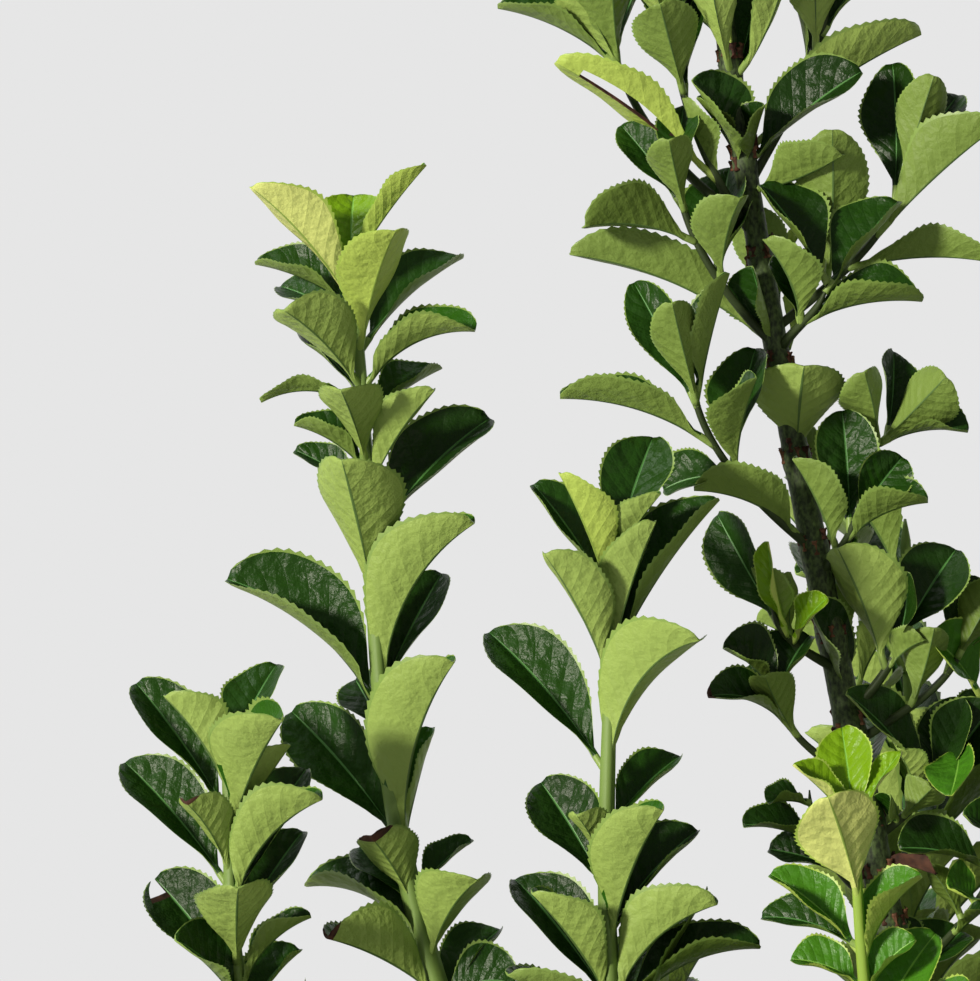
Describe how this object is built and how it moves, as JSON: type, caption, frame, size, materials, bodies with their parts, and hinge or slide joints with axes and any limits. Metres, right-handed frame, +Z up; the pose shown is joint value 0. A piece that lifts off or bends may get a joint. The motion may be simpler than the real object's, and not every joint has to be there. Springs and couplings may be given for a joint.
{
  "type": "potted japanese spindle",
  "caption": "Upright evergreen shrub in a plain clay pot: leafy spires of small toothed leaves on branching stems, with a tall leader that bears side twigs.",
  "frame": {"origin": "middle of the pot's flat underside, on the ground", "axes": "+Z up the plant, +X to the right and +Y away from a viewer in front"},
  "size_m": [0.342, 0.2519, 0.6666],
  "materials": {
    "clay": "unglazed, matt",
    "compost": "loose and damp",
    "bark": "smooth grey-green bark with scaly brown nodes",
    "foliage": "leathery, glossy above and matt below"
  },
  "bodies": {
    "root": {"pot": "clay", "soil": "compost", "root_crown": "bark", "leader_stem": "bark", "left_tall_stem": "bark", "left_outer_stem": "bark", "left_inner_stem": "bark", "front_young_stem": "bark", "right_tall_stem": "bark", "right_outer_stem": "bark", "right_inner_stem": "bark", "front_mid_stem": "bark", "front_right_stem": "bark", "front_low_stem": "bark", "back_mid_stem": "bark", "back_right_stem": "bark", "back_inner_stem": "bark", "back_left_stem": "bark", "back_low_stem": "bark", "leader_leaves": "foliage", "left_tall_leaves": "foliage", "left_outer_leaves": "foliage", "left_inner_leaves": "foliage", "front_young_leaves": "foliage", "right_tall_leaves": "foliage", "right_outer_leaves": "foliage", "right_inner_leaves": "foliage", "front_mid_leaves": "foliage", "front_right_leaves": "foliage", "front_low_leaves": "foliage", "back_mid_leaves": "foliage", "back_right_leaves": "foliage", "back_inner_leaves": "foliage", "back_left_leaves": "foliage", "back_low_leaves": "foliage", "leader_twig_1a": "foliage", "leader_twig_2a": "foliage", "leader_twig_2b": "foliage", "leader_twig_3b": "foliage", "leader_twig_4a": "foliage", "leader_twig_4b": "foliage", "leader_twig_5a": "foliage", "leader_twig_5b": "foliage", "leader_twig_6a": "foliage", "leader_twig_6b": "foliage", "leader_twig_7a": "foliage", "leader_twig_7b": "foliage", "leader_twig_8a": "foliage", "leader_twig_8b": "foliage", "leader_twig_9a": "foliage", "leader_twig_9b": "foliage", "leader_twig_10a": "foliage", "leader_twig_10b": "foliage", "leader_twig_11a": "foliage", "leader_twig_11b": "foliage", "leader_twig_12a": "foliage", "leader_twig_12b": "foliage", "leader_twig_13a": "foliage", "leader_twig_13b": "foliage"}
  },
  "joints": []
}
